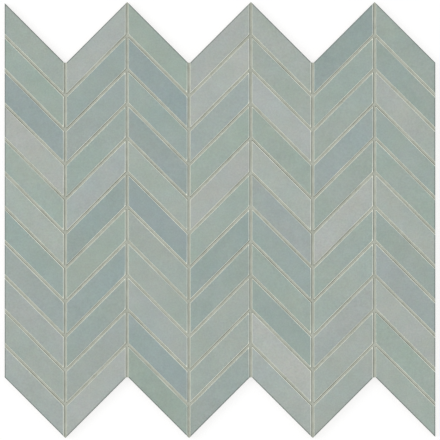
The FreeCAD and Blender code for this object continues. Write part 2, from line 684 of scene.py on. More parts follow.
@dataclass(frozen=True)
class DriedGlue(Finish):
    """Clear-drying adhesive that has yellowed a little."""

    name = "dried_glue"

    thin: Colour = paint(226, 222, 205)
    thick: Colour = paint(208, 198, 168)

    def _surface(self, graph: Graph, place: Wire) -> tuple[dict[str, Any], Wire]:
        """Colours the glue by how thick it has pooled.

        Args:
            graph: The material's graph.
            place: Each point's place.

        Returns:
            Values or wires for the surface's sockets, and its relief in metres.
        """
        pools = graph.cloud(place, 1.2 * MM, 2.0)
        surface = {
            "Base Color": graph.blend(pools, self.thin, self.thick),
            "Roughness": 0.22 + 0.2 * pools,
            "Coat Weight": 0.4,
        }
        return surface, 0.04 * MM * pools


@dataclass(frozen=True)
class StudioFloor:
    """White studio floor that a camera or a glossy surface sees as plain white."""

    white: float = 0.95
    lift: float = 0.66
    shown: float = 1.1

    def material(self) -> bpy.types.Material:
        """Builds the material, lit by the lamps and lifted for the rays that look at it.

        Returns:
            The finished material.
        """
        material, graph = new_material("studio_floor")
        paper = {
            "Base Color": (self.white, self.white, self.white, 1.0),
            "Roughness": 0.85 + 0.1 * graph.cloud(graph.place(), 2 * MM),
            "Specular IOR Level": 0.0,
        }
        lit = graph.add("ShaderNodeBsdfPrincipled", None, paper)["BSDF"]
        glow = {"Color": WHITE, "Strength": self.shown}
        plain = graph.add("ShaderNodeEmission", None, glow)["Emission"]
        mixed = graph.mixed_shader(self.lift * seen_directly(graph), lit, plain)
        graph.add("ShaderNodeOutputMaterial", None, {"Surface": mixed})
        return material


def seen_directly(graph: Graph) -> Wire:
    """Tells the rays that show a background from those that light the object.

    Args:
        graph: The background's graph.

    Returns:
        1 for the rays that show it, and 0 for the rest.
    """
    path = graph.add("ShaderNodeLightPath")
    glossy = path["Is Glossy Ray"].at_least(path["Is Transmission Ray"])
    return path["Is Camera Ray"].at_least(glossy)


def new_object(name: str, mesh: bpy.types.Mesh) -> bpy.types.Object:
    """Puts a mesh into the scene.

    Args:
        name: The object's name.
        mesh: Its mesh, whose points already lie in the frame.

    Returns:
        The object, at the origin.
    """
    thing = bpy.data.objects.new(name, mesh)
    bpy.context.scene.collection.objects.link(thing)
    return thing


def mesh_of(
    name: str, points: np.ndarray, faces: list[tuple[int, ...]], edges: Iterable[tuple[int, int]] = ()
) -> bpy.types.Mesh:
    """Makes a mesh from points and faces.

    Args:
        name: The mesh's name.
        points: One row of X, Y and Z for each point.
        faces: The points of each face, counted round it.
        edges: Pairs of points, where the mesh has no faces.

    Returns:
        The mesh.
    """
    mesh = bpy.data.meshes.new(name)
    mesh.from_pydata([tuple(point) for point in points], list(edges), faces)
    mesh.update()
    return mesh


def keep_numbers(mesh: bpy.types.Mesh, name: str, values: np.ndarray) -> None:
    """Stores one number for each point of a mesh."""
    attribute = mesh.attributes.new(name, "FLOAT", "POINT")
    attribute.data.foreach_set("value", np.asarray(values, dtype=np.float32))


def read_numbers(mesh: bpy.types.Mesh, name: str) -> np.ndarray:
    """Reads one number for each point of a mesh.

    Args:
        mesh: The mesh.
        name: The attribute's name.

    Returns:
        The numbers.
    """
    values = np.zeros(len(mesh.vertices), dtype=np.float32)
    mesh.attributes[name].data.foreach_get("value", values)
    return values


def hand_in(piece: bpy.types.Object, node: str) -> None:
    """Says what body a piece rides on and which node it replaces.

    Args:
        piece: The finished piece.
        node: The CAD node that it replaces, or nothing where it has none.
    """
    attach(piece, BODY)
    if node:
        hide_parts(node)
    log.info("%s: %d faces", piece.name, len(piece.data.polygons))


def points_of(mesh: bpy.types.Mesh) -> np.ndarray:
    """Reads where a mesh's points lie.

    Args:
        mesh: The mesh.

    Returns:
        One row of X, Y and Z for each point.
    """
    values = np.zeros(len(mesh.vertices) * 3, dtype=np.float32)
    mesh.vertices.foreach_get("co", values)
    return values.reshape(-1, 3)


class GrowthTree:
    """A Geometry Nodes tree with named inputs, and its use on one object."""

    def __init__(self, name: str, inputs: Mapping[str, tuple[str, Any]]) -> None:
        """Makes the tree and its inputs.

        Args:
            name: The tree's name.
            inputs: For each input its socket type and its value on the modifier.
        """
        tree = bpy.data.node_groups.new(name, "GeometryNodeTree")
        self.graph = Graph(tree)
        self.values = {label: value for label, (_, value) in inputs.items()}
        tree.interface.new_socket("Geometry", in_out="INPUT", socket_type="NodeSocketGeometry")
        for label, (kind, _) in inputs.items():
            tree.interface.new_socket(label, in_out="INPUT", socket_type=kind)
        tree.interface.new_socket("Geometry", in_out="OUTPUT", socket_type="NodeSocketGeometry")
        self.entry = self.graph.add("NodeGroupInput")

    def input(self, label: str) -> Wire:
        """Gives the wire of a named input."""
        socket = next(socket for socket in self.entry.node.outputs if socket.name == label)
        return Wire(self.graph, socket)

    def close(self, geometry: Wire) -> None:
        """Ends the tree in real geometry with its finish on it.

        Args:
            geometry: What the tree has made.
        """
        real = self.graph.add("GeometryNodeRealizeInstances", None, {"Geometry": geometry})["Geometry"]
        sockets = {"Geometry": real, "Material": self.input("Finish")}
        finished = self.graph.add("GeometryNodeSetMaterial", None, sockets)["Geometry"]
        exit_node = self.graph.add("NodeGroupOutput").node
        self.graph.tree.links.new(finished.socket, exit_node.inputs[0])

    def grow(self, seed_object: bpy.types.Object, name: str) -> bpy.types.Object:
        """Runs the tree on an object and keeps the result as a plain mesh.

        Args:
            seed_object: The object that the tree starts from, which is removed.
            name: The new object's name.

        Returns:
            The object with the plain mesh.
        """
        modifier = seed_object.modifiers.new(self.graph.tree.name, "NODES")
        modifier.node_group = self.graph.tree
        for item in self.graph.tree.interface.items_tree:
            if item.in_out == "INPUT" and item.name in self.values:
                modifier[item.identifier] = self.values[item.name]
        seed_object.update_tag()
        ready = seed_object.evaluated_get(bpy.context.evaluated_depsgraph_get())
        mesh = bpy.data.meshes.new_from_object(ready)
        mesh.name = name
        mesh.materials.clear()
        mesh.materials.append(self.values["Finish"])
        seed_object.modifiers.remove(modifier)
        bpy.data.objects.remove(seed_object)
        return new_object(name, mesh)


@dataclass
class TileColumns:
    """The pressed tiles, column by column."""

    sizes: SheetSizes
    finish: GlazedClay
    arris_steps: int = 4
    cells_along: int = 13
    pillow: float = 0.05 * MM
    pillow_reach: float = 2.4 * MM
    groove_spacing: float = 4.2 * MM
    groove_width: float = 2.8 * MM
    groove_side: float = 0.3 * MM
    groove_depth: float = 0.35 * MM
    groove_stop: float = 2.2 * MM
    lower_edge: float = 0.25 * MM
    wall_reach: float = 4.0 * MM
    # painted highlight: how far the pale band is cut back on sides that face the key lamp and spread on
    # sides turned away from it
    lit_side_trim: float = 0.13 * MM
    lee_side_gain: float = 0.04 * MM
    left_end_trim: float = 0.05 * MM
    right_end_band: float = 0.58 * MM
    right_end_band_fineness: float = 2.8
    sharp_edge: float = math.radians(38)
    seating_drop: float = 0.05 * MM
    seating_tilt: float = math.radians(0.05)
    blending: float = 0.7
    firing: float = 0.04
    seed: int = 7
    shift_seed: int = 100

    def build(self) -> list[bpy.types.Object]:
        """Builds every column as one piece, from left to right."""
        material = self.finish.material()
        return [self._column(column, material) for column in range(self.sizes.columns)]

    def _column(self, column: int, material: bpy.types.Material) -> bpy.types.Object:
        """Lays one column.

        Args:
            column: Its number, from 0 at the left.
            material: The tiles' finish.

        Returns:
            The column's piece.
        """
        pattern = new_object("tile_pattern", self._tile_mesh(Lean.of(column)))
        x, y = self.sizes.tile_middle(column, 0)
        tree = self._laying_tree(x, y, column, material)
        piece = tree.grow(pattern, f"glazed_tiles_{column + 1}")
        self._dress(piece.data, column)
        hand_in(piece, f"tiles_column_{column + 1}")
        return piece

    def _laying_tree(
        self, x: float, y: float, column: int, material: bpy.types.Material
    ) -> GrowthTree:
        """Makes the tree that lays copies of one tile down a column.

        Args:
            x: X of the top tile's middle.
            y: Y of the top tile's middle.
            column: The column's number, which sets its random draws.
            material: The tiles' finish.

        Returns:
            The tree.
        """
        tree = GrowthTree(
            f"lay_column_{column + 1}",
            {
                "Rows": ("NodeSocketInt", self.sizes.rows),
                "Row Pitch": ("NodeSocketFloat", self.sizes.row_pitch),
                "Top Tile": ("NodeSocketVector", (x, y, self.sizes.back)),
                "Seating Drop": ("NodeSocketFloat", self.seating_drop),
                "Seating Tilt": ("NodeSocketFloat", self.seating_tilt),
                "Seed": ("NodeSocketInt", self.seed + column),
                "Finish": ("NodeSocketMaterial", material),
            },
        )
        graph, seed = tree.graph, tree.input("Seed")
        # The drop keeps a tilted tile under the sheet's face
        drop = graph.joined(z=tree.input("Seating Drop"))
        first = graph.vector("SUBTRACT", tree.input("Top Tile"), drop)
        step = graph.joined(y=0.0 - tree.input("Row Pitch"))
        line_sockets = {"Count": tree.input("Rows"), "Start Location": first, "Offset": step}
        line = graph.add("GeometryNodeMeshLine", {"mode": "OFFSET"}, line_sockets)["Mesh"]
        sway = graph.drawn((-1.0, -1.0, 0.0), (1.0, 1.0, 0.0), seed)
        turn = graph.turned(graph.scaled(sway, tree.input("Seating Tilt")))
        copies = {"Points": line, "Instance": tree.input("Geometry"), "Rotation": turn}
        tiles = graph.add("GeometryNodeInstanceOnPoints", None, copies)["Instances"]
        shift = graph.drawn((-FAR_AWAY,) * 3, (FAR_AWAY,) * 3, seed + self.shift_seed)
        tiles = self._store(graph, tiles, "FLOAT_VECTOR", "batch_shift", shift)
        number = graph.add("GeometryNodeInputIndex")["Index"]
        tree.close(self._store(graph, tiles, "FLOAT", "row", number))
        return tree

    def _store(self, graph: Graph, geometry: Wire, kind: str, name: str, value: Wire) -> Wire:
        """Stores a value on every copy.

        Args:
            graph: The tree's graph.
            geometry: The copies.
            kind: The value's data type.
            name: The attribute's name.
            value: The value.

        Returns:
            The copies with the attribute.
        """
        sockets = {"Geometry": geometry, "Name": name, "Value": value}
        settings = {"data_type": kind, "domain": "INSTANCE"}
        return graph.add("GeometryNodeStoreNamedAttribute", settings, sockets)["Geometry"]

    def _dress(self, mesh: bpy.types.Mesh, column: int) -> None:
        """Gives each tile of a laid column its glaze, and finds its joints and free edges.

        Args:
            mesh: The column's mesh.
            column: The column's number.
        """
        low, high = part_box(f"tiles_column_{column + 1}")
        kept_in = np.clip(points_of(mesh), tuple(low), tuple(high))
        mesh.vertices.foreach_set("co", kept_in.astype(np.float32).ravel())
        rows = np.rint(read_numbers(mesh, "row")).astype(int)
        glaze = mesh.attributes.new("glaze", "FLOAT_COLOR", "POINT")
        glaze.data.foreach_set("color", self._shades(column)[rows].astype(np.float32).ravel())
        jointed = {
            "left": np.full(len(rows), column > 0),
            "right": np.full(len(rows), column < self.sizes.columns - 1),
            "top": rows > 0,
            "bottom": rows < self.sizes.rows - 1,
        }
        from_joint = np.full(len(rows), FAR_AWAY)
        from_edge = np.full(len(rows), FAR_AWAY)
        for side, is_jointed in jointed.items():
            away = read_numbers(mesh, f"from_{side}")
            film_and_highlight_distance = self._from_film_and_highlight(side, away, column)
            from_joint = np.where(is_jointed, np.minimum(from_joint, film_and_highlight_distance), from_joint)
            from_edge = np.where(is_jointed, from_edge, np.minimum(from_edge, away))
            mesh.attributes.remove(mesh.attributes[f"from_{side}"])
        mesh.attributes.remove(mesh.attributes["row"])
        keep_numbers(mesh, "from_joint", from_joint)
        keep_numbers(mesh, "from_edge", from_edge)
        mesh.shade_smooth()
        mesh.set_sharp_from_angle(angle=self.sharp_edge)

    def _from_film_and_highlight(self, side: str, away: np.ndarray, column: int) -> np.ndarray:
        """Moves a side's distances so that the pale residue and its painted highlight lie narrower on
        sides that face the key lamp and wider on sides turned away from it.

        Args:
            side: The tile's side.
            away: Each point's distance from it.
            column: The column's number.

        Returns:
            The distances that the pale residue and painted highlight are measured by.
        """
        # painted highlight: on right ends the pale band stands off the wall, and lit sides get a
        # narrower band than sides in shade
        if side == "right":
            return self.right_end_band_fineness * np.abs(away - self.right_end_band)
        if side == "left":
            return away + self.lit_side_trim + self.left_end_trim
        return away + (self.lit_side_trim if side == Lean.of(column).left_facing else -self.lee_side_gain)

    def _shades(self, column: int) -> np.ndarray:
        """Blends each tile's colour at random from the glazes, fired lighter or darker.

        Args:
            column: The column's number, which sets its random draws.

        Returns:
            One colour for each row.
        """
        draws = np.random.default_rng((self.seed, column))
        glazes = np.array([glaze.value for glaze in Glaze])
        shades = draws.dirichlet([self.blending] * len(glazes), self.sizes.rows) @ glazes
        shades[:, :3] *= 1 + self.firing * draws.uniform(-1, 1, (self.sizes.rows, 1))
        return shades

    def _groove_lines(self) -> list[float]:
        """Finds where the back's grooves start, flatten, rise and end.

        Returns:
            Their places across the tile.
        """
        middle, half = self.sizes.tile_width / 2, self.groove_width / 2
        lines = []
        for place in (-self.groove_spacing, 0.0, self.groove_spacing):
            sides = (-half, -half + self.groove_side, half - self.groove_side, half)
            lines += [middle + place + side for side in sides]
        return lines

    def _stops(self, width: float, inner: list[float]) -> np.ndarray:
        """Gives the grid lines across one width of the tile.

        Args:
            width: The tile's length or width along the grid.
            inner: The lines between the arrises.

        Returns:
            All lines, from 0 to the width.
        """
        turns = np.linspace(0, math.pi / 2, self.arris_steps + 1)
        arris = self.sizes.arris * (1 - np.cos(turns))
        return np.concatenate([arris, np.array(inner), (width - arris)[::-1]])

    def _tile_mesh(self, lean: Lean) -> bpy.types.Mesh:
        """Builds one tile round its middle, standing on its back.

        Args:
            lean: Which way the tile runs.

        Returns:
            The mesh, with its distance from each side on its points.
        """
        width, length = self.sizes.tile_width, self.sizes.column_width
        edge_line = 2 * self.sizes.arris
        across = self._stops(width, [edge_line, *self._groove_lines(), width - edge_line])
        stop, side = self.groove_stop, self.groove_side
        middle_lines = np.linspace(stop + side, length - stop - side, self.cells_along + 1)
        along = self._stops(length, [edge_line, stop, *middle_lines, length - stop, length - edge_line])
        u, v = np.meshgrid(along, across, indexing="ij")
        top = self._placed(u, v, self._face_height(u, v), lean)
        low_u, low_v = self._pulled_in(u, length), self._pulled_in(v, width)
        bottom = self._placed(low_u, low_v, self._back_height(u, v), lean)
        ring = self._ring(*u.shape)
        wall = self._placed(u, v, np.full_like(u, self.lower_edge), lean)[ring]
        points = np.concatenate([top, wall, bottom])
        faces = self._face_list(u.shape, ring)
        mesh = mesh_of("tile", points, faces)
        for label, away in (("left", u), ("right", length - u), ("bottom", v), ("top", width - v)):
            flat = away.ravel()
            below = flat + self.wall_reach
            keep_numbers(mesh, f"from_{label}", np.concatenate([flat, below[ring], below]))
        return mesh

    def _placed(self, u: np.ndarray, v: np.ndarray, z: np.ndarray, lean: Lean) -> np.ndarray:
        """Puts grid points into the leaning tile's shape.

        Args:
            u: Distance from the left end.
            v: Distance from the lower side, square across the slant.
            z: Height above the tile's back.
            lean: Which way the tile runs.

        Returns:
            One row of X, Y and Z for each point.
        """
        x = u - self.sizes.column_width / 2
        y = v * self.sizes.stretch - self.sizes.tile_end / 2 + lean.value * self.sizes.slope * x
        return np.stack([x.ravel(), y.ravel(), z.ravel()], axis=1)

    def _face_height(self, u: np.ndarray, v: np.ndarray) -> np.ndarray:
        """Shapes the face: an arris all round, and a slight pillow inside it.

        Args:
            u: Distance from the left end.
            v: Distance from the lower side, square across the slant.

        Returns:
            The face's height above the back.
        """
        radius = self.sizes.arris
        sides = [u, self.sizes.column_width - u, v, self.sizes.tile_width - v]
        away = np.minimum.reduce(sides)
        climb = np.sqrt(np.maximum(radius**2 - (radius - np.minimum(away, radius)) ** 2, 0))
        flat = np.clip(away / self.pillow_reach, 0, 1)
        crown = self.pillow * (1 - flat) ** 2 * climb / radius
        return self.sizes.arris_foot - self.sizes.back + climb - crown

    def _back_height(self, u: np.ndarray, v: np.ndarray) -> np.ndarray:
        """Shapes the back, with its grooves pressed in.

        Args:
            u: Distance from the left end.
            v: Distance from the lower side, square across the slant.

        Returns:
            The back's height above its lowest level.
        """
        from_end = np.minimum(u, self.sizes.column_width - u) - self.groove_stop
        from_middle = np.abs(v - self.sizes.tile_width / 2)
        nearest = np.rint(from_middle / self.groove_spacing).clip(0, 1) * self.groove_spacing
        inside = self.groove_width / 2 - np.abs(from_middle - nearest)
        share = np.clip(np.minimum(from_end, inside) / self.groove_side, 0, 1)
        return self.groove_depth * share

    def _pulled_in(self, away: np.ndarray, width: float) -> np.ndarray:
        """Moves the back's outer grid lines in by the lower edge's chamfer.

        Args:
            away: Distance of each point from one side of the tile.
            width: Distance between that side and the opposite one.

        Returns:
            The points' new distances from the side.
        """
        arris, edge = self.sizes.arris, self.lower_edge
        low = edge + away * (arris - edge) / arris
        high = width - edge - (width - away) * (arris - edge) / arris
        return np.where(away < arris, low, np.where(away > width - arris, high, away))

    def _ring(self, rows: int, columns: int) -> np.ndarray:
        """Gives the numbers of a grid's outer points, counted once round it."""
        grid = np.arange(rows * columns).reshape(rows, columns)
        return np.concatenate([grid[:-1, 0], grid[-1, :-1], grid[:0:-1, -1], grid[0, :0:-1]])

    def _face_list(self, shape: tuple[int, int], ring: np.ndarray) -> list[tuple[int, ...]]:
        """Lists the faces of the top, the walls and the back.

        Args:
            shape: Points of the grid each way.
            ring: The grid's outer points.

        Returns:
            The faces, all turned outwards.
        """
        rows, columns = shape
        count, around = rows * columns, len(ring)
        faces: list[tuple[int, ...]] = []
        for i in range(rows - 1):
            for j in range(columns - 1):
                a, b = i * columns + j, (i + 1) * columns + j
                faces += self._top_cell((a, b, b + 1, a + 1), i, j, shape)
                low = count + around
                faces.append((low + a, low + a + 1, low + b + 1, low + b))
        for k in range(around):
            after = (k + 1) % around
            top_a, top_b = int(ring[k]), int(ring[after])
            wall_a, wall_b = count + k, count + after
            low_a, low_b = count + around + top_a, count + around + top_b
            faces += [(wall_a, wall_b, top_b, top_a), (low_a, low_b, wall_b, wall_a)]
        return faces

    def _top_cell(
        self, cell: tuple[int, int, int, int], i: int, j: int, shape: tuple[int, int]
    ) -> list[tuple[int, ...]]:
        """Splits a cell on the mitre of a corner along the mitre, and leaves any other whole.

        Args:
            cell: The cell's points, counted round it.
            i: Its place along the grid.
            j: Its place across the grid.
            shape: Points of the grid each way.

        Returns:
            One face or two.
        """
        a, b, c, d = cell
        steps, back_i, back_j = self.arris_steps, shape[0] - 2 - i, shape[1] - 2 - j
        if i == j < steps or back_i == back_j < steps:
            return [(a, b, c), (a, c, d)]
        if i == back_j < steps or back_i == j < steps:
            return [(a, b, d), (b, c, d)]
        return [cell]


@dataclass
class GroutLattice:
    """The grout: one casting that fills every joint and hollows between the tiles."""

    sizes: SheetSizes
    finish: SandedGrout
    stations: tuple[float, ...] = (-1.0, -0.87, -0.7, -0.4, 0.0, 0.4, 0.7, 0.87, 1.0)
    cell_length: float = 2.0 * MM
    lap: float = 0.15 * MM
    hollow: float = 0.26 * MM
    hollow_side: float = 0.34 * MM
    ripple: float = 0.045 * MM
    ripple_lengths: tuple[float, ...] = (23 * MM, 11 * MM, 6.1 * MM, 3.7 * MM)
    weld: float = 0.002 * MM
    sharp_edge: float = math.radians(50)
    seed: int = 21
    distances: tuple[str, ...] = ("from_wall", "from_lee", "from_end")

    def build(self) -> bpy.types.Object:
        """Builds the grout in place of its node.

        Returns:
            The piece.
        """
        flat = bmesh.new()
        for patch in self._patches():
            self._add_patch(flat, patch)
        bmesh.ops.remove_doubles(flat, verts=flat.verts, dist=self.weld)
        mesh = self._solid(flat)
        piece = new_object("joint_grout", mesh)
        mesh.materials.append(self.finish.material())
        hand_in(piece, "grout")
        return piece

    def _add_patch(self, flat: bmesh.types.BMesh, patch: np.ndarray) -> None:
        """Adds a grid of cells.

        Args:
            flat: The mesh that grows.
            patch: X and Y of each grid point, as rows by columns by 2.
        """
        rows, columns, _ = patch.shape
        made = [[flat.verts.new((x, y, 0.0)) for x, y in line] for line in patch]
        for i in range(rows - 1):
            for j in range(columns - 1):
                flat.faces.new((made[i][j], made[i + 1][j], made[i + 1][j + 1], made[i][j + 1]))

    def _patches(self) -> list[np.ndarray]:
        """Cuts the joints into patches that meet point to point.

        Returns:
            The patches.
        """
        sizes = self.sizes
        patches = []
        for column in range(sizes.columns):
            patches += [self._slanted(column, row) for row in range(sizes.rows - 1)]
        for column in range(1, sizes.columns):
            top, bottom = self._ends_of_upright(column)
            corners = [top]
            for row in range(sizes.rows - 1):
                corners += self._slanted_corners(column, row)
            corners.append(bottom)
            for k in range(len(corners) - 1):
                patches.append(self._upright(column, corners[k + 1], corners[k], k % 2 == 1))
            peaked = Lean.of(column) is Lean.FALLS
            patches.append(self._tip(column, top, 1) if peaked else self._tip(column, bottom, -1))
        return patches

    def _slanted_corners(self, column: int, row: int) -> list[float]:
        """Finds where the joint below one tile opens into the upright joint on its left.

        Args:
            column: The tile's column.
            row: Its row.

        Returns:
            The heights of the joint's upper and lower edge there.
        """
        sizes = self.sizes
        middle = sizes.end_heights(column)[0] - (row + 1) * sizes.row_pitch + sizes.gap / 2
        middle += Lean.of(column).value * sizes.slope * self.lap
        half = sizes.gap / 2 + self.lap * sizes.stretch
        return [middle + half, middle - half]

    def _ends_of_upright(self, column: int) -> tuple[float, float]:
        """Finds the ends of the upright joint on a column's left, without its tip.

        Args:
            column: The column's number.

        Returns:
            The heights of its top and its bottom.
        """
        sizes = self.sizes
        tall = sizes.high_end - self.lap * sizes.slope
        if Lean.of(column) is Lean.FALLS:
            return tall, -sizes.low_end
        return sizes.low_end, -tall

    def _slanted(self, column: int, row: int) -> np.ndarray:
        """Lays out the joint below one tile.

        Args:
            column: The tile's column.
            row: Its row.

        Returns:
            The patch, as rows by columns by 2.
        """
        sizes = self.sizes
        count = max(1, round(sizes.column_width * sizes.stretch / self.cell_length))
        start = self.lap if column > 0 else 0.0
        end = sizes.column_width - (self.lap if column < sizes.columns - 1 else 0.0)
        x = np.linspace(start, end, count + 1)
        upper, lower = self._slanted_corners(column, row)
        shift = Lean.of(column).value * sizes.slope * self.lap
        y = (upper + lower) / 2 - shift + np.array(self.stations) * (upper - lower) / 2
        xs, ys = np.meshgrid(x, y, indexing="ij")
        ys = ys + Lean.of(column).value * sizes.slope * xs
        return np.stack([xs + sizes.column_left(column), ys], axis=-1)

    def _upright(self, column: int, bottom: float, top: float, crossing: bool) -> np.ndarray:
        """Lays out a stretch of the upright joint on a column's left.

        Args:
            column: The column's number.
            bottom: Where the stretch starts.
            top: Where it ends.
            crossing: Whether a slanted joint opens into it there.

        Returns:
            The patch, as rows by columns by 2.
        """
        count = max(1, round((top - bottom) / self.cell_length))
        rows = np.array(self.stations) if crossing else np.linspace(-1, 1, count + 1)
        x = self.sizes.joint_middle(column) + self._aside()
        y = (top + bottom) / 2 + rows * (top - bottom) / 2
        xs, ys = np.meshgrid(x, y, indexing="ij")
        return np.stack([xs, ys], axis=-1)

    def _aside(self) -> np.ndarray:
        """Gives the grid lines across an upright joint, from its middle."""
        return np.array(self.stations) * (self.sizes.joint / 2 + self.lap)

    def _tip(self, column: int, level: float, way: int) -> np.ndarray:
        """Lays out the small tip with which an upright joint ends on a point of the sheet.

        Args:
            column: The number of the column on the joint's right.
            level: The height that the tip stands on.
            way: 1 for a tip that points up, and -1 for one that points down.

        Returns:
            The patch, as rows by columns by 2.
        """
        sizes, aside = self.sizes, self._aside()
        reach = (aside.max() - np.abs(aside)) * sizes.slope
        ends = np.stack([np.full_like(aside, level), level + way * reach], axis=1)
        xs = np.stack([sizes.joint_middle(column) + aside] * 2, axis=1)
        patch = np.stack([xs, ends], axis=-1)
        return patch if way > 0 else patch[:, ::-1]

    def _solid(self, flat: bmesh.types.BMesh) -> bpy.types.Mesh:
        """Raises the flat lattice to a closed casting.

        Args:
            flat: The welded lattice, which is used up.

        Returns:
            The mesh, with each point's distance from the tiles on it.
        """
        for name in self.distances:
            flat.verts.layers.float.new(name)
        layers = {name: flat.verts.layers.float[name] for name in self.distances}
        raised = bmesh.ops.extrude_face_region(flat, geom=list(flat.faces), use_keep_orig=True)
        tops = [item for item in raised["geom"] if isinstance(item, bmesh.types.BMVert)]
        places = np.array([vertex.co[:2] for vertex in tops])
        away = self._from_tiles(places)
        heights = self._heights(places, away["from_wall"])
        for vertex in flat.verts:
            vertex.co.z = self.sizes.back
            for layer in layers.values():
                vertex[layer] = self.sizes.joint / 2
        for k, vertex in enumerate(tops):
            vertex.co.z = heights[k]
            for name, layer in layers.items():
                vertex[layer] = away[name][k]
        bmesh.ops.recalc_face_normals(flat, faces=flat.faces)
        mesh = bpy.data.meshes.new("joint_grout")
        flat.to_mesh(mesh)
        flat.free()
        mesh.shade_smooth()
        mesh.set_sharp_from_angle(angle=self.sharp_edge)
        return mesh

    def _heights(self, places: np.ndarray, away: np.ndarray) -> np.ndarray:
        """Gives the grout's surface: hollow in the middle, and climbing the tiles' arrises.

        Args:
            places: X and Y of each point.
            away: Distance of each point from the nearest tile.

        Returns:
            The heights.
        """
        draws = np.random.default_rng(self.seed)
        waves = np.zeros(len(places))
        for length in self.ripple_lengths:
            heading, phase = draws.uniform(0, 2 * math.pi, 2)
            along = places @ np.array([math.cos(heading), math.sin(heading)])
            waves += np.sin(2 * math.pi * along / length + phase)
        arris = self.sizes.arris
        edge = math.sqrt(arris**2 - (arris - self.lap) ** 2)
        share = np.clip(away / self.hollow_side, 0, 1)
        eased = share * share * (3 - 2 * share)
        return self.sizes.arris_foot + edge - (self.hollow - self.ripple * waves) * eased

    def _from_tiles(self, places: np.ndarray) -> dict[str, np.ndarray]:
        """Measures how far each point is from the tiles.

        Args:
            places: X and Y of each point.

        Returns:
            The distances from the nearest side of any tile, from the nearest long side that faces
            right, away from the key lamp, and from the nearest right end.
        """
        found = {name: np.full(len(places), FAR_AWAY) for name in self.distances}
        for column in range(self.sizes.columns):
            sides = self._from_ends(places, column) | self._from_long_sides(places, column)
            lit = ("left", Lean.of(column).left_facing)
            for side, away in sides.items():
                found["from_wall"] = np.minimum(found["from_wall"], away)
                if side not in lit:
                    name = "from_end" if side == "right" else "from_lee"
                    found[name] = np.minimum(found[name], away)
        return found

    def _from_ends(self, places: np.ndarray, column: int) -> dict[str, np.ndarray]:
        """Measures the distance to the upright ends of a column's tiles.

        Args:
            places: X and Y of each point.
            column: The column's number.

        Returns:
            The distances for the left and the right ends.
        """
        sizes = self.sizes
        found = {}
        left = sizes.column_left(column)
        for x, way, top in zip((left, left + sizes.column_width), (1, -1), sizes.end_heights(column)):
            below = top - self.lap * sizes.stretch - places[:, 1]
            below += way * Lean.of(column).value * sizes.slope * self.lap
            row = np.clip(np.floor(below / sizes.row_pitch), 0, sizes.rows - 1)
            over = below - row * sizes.row_pitch
            past = np.maximum(over - sizes.tile_end + 2 * self.lap * sizes.stretch, 0)
            to_next = np.where(row < sizes.rows - 1, sizes.row_pitch - over, FAR_AWAY)
            aside = np.where(over < 0, -over, np.minimum(past, np.where(past > 0, to_next, FAR_AWAY)))
            found["left" if way > 0 else "right"] = np.hypot(places[:, 0] - x - way * self.lap, aside)
        return found

    def _from_long_sides(self, places: np.ndarray, column: int) -> dict[str, np.ndarray]:
        """Measures the distance to the slanted sides of a column's tiles.

        Args:
            places: X and Y of each point.
            column: The column's number.

        Returns:
            The distances for the top and the bottom sides.
        """
        sizes = self.sizes
        left, slope = sizes.column_left(column), Lean.of(column).value * sizes.slope
        start = left if column == 0 else left + self.lap
        end = left + sizes.column_width - (self.lap if column < sizes.columns - 1 else 0.0)
        way = np.array([1.0, slope]) / math.hypot(1.0, slope)
        found = {side: np.full(len(places), FAR_AWAY) for side in ("top", "bottom")}
        for row in range(sizes.rows):
            top = sizes.end_heights(column)[0] - row * sizes.row_pitch + slope * (start - left)
            for side, height, inwards in (("top", top, -1), ("bottom", top - sizes.tile_end, 1)):
                away = places - np.array([start, height + inwards * self.lap * sizes.stretch])
                along = np.clip(away @ way, 0, (end - start) * sizes.stretch)
                distance = np.linalg.norm(away - along[:, None] * way, axis=1)
                found[side] = np.minimum(found[side], distance)
        return found


